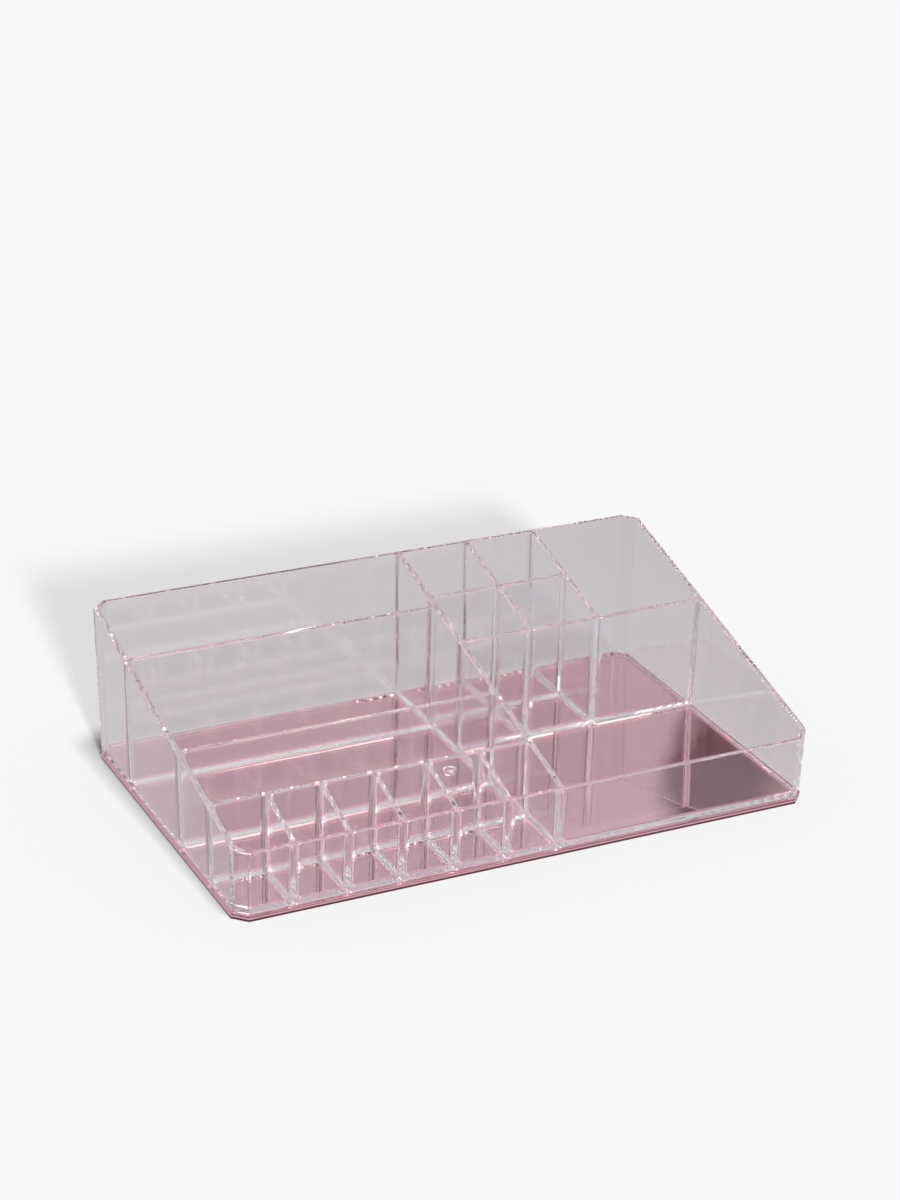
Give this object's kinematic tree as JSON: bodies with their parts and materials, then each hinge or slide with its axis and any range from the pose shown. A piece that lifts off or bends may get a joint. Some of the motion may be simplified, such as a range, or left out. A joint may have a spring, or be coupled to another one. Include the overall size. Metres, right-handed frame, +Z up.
{
  "type": "vanity organizer",
  "caption": "Clear chamfered vanity tray with a sloping rim, divided into lipstick slots, cells and long trays, on a pink mirrored base plate.",
  "frame": {"origin": "middle of the base plate's underside, on the table", "axes": "+X to the right along the front, +Y from the low front to the high rear, +Z up"},
  "size_m": [0.3, 0.1841, 0.0805],
  "materials": {
    "clear_plastic": "clear, glossy, moulded",
    "rose_mirror": "pink mirror, metallised"
  },
  "bodies": {
    "root": {"base_plate": "rose_mirror", "tray_floor": "clear_plastic", "back_wall": "clear_plastic", "front_wall": "clear_plastic", "left_wall": "clear_plastic", "right_wall": "clear_plastic", "rear_left_corner": "clear_plastic", "rear_right_corner": "clear_plastic", "front_left_corner": "clear_plastic", "front_right_corner": "clear_plastic", "main_divider": "clear_plastic", "rear_tray_divider": "clear_plastic", "middle_tray_divider": "clear_plastic", "slot_row_divider": "clear_plastic", "left_cell_divider": "clear_plastic", "right_cell_divider": "clear_plastic", "left_cell_cross": "clear_plastic", "right_cell_cross": "clear_plastic", "right_tray_divider": "clear_plastic", "slot_divider_1": "clear_plastic", "slot_divider_2": "clear_plastic", "slot_divider_3": "clear_plastic", "slot_divider_4": "clear_plastic", "slot_divider_5": "clear_plastic"}
  },
  "joints": []
}
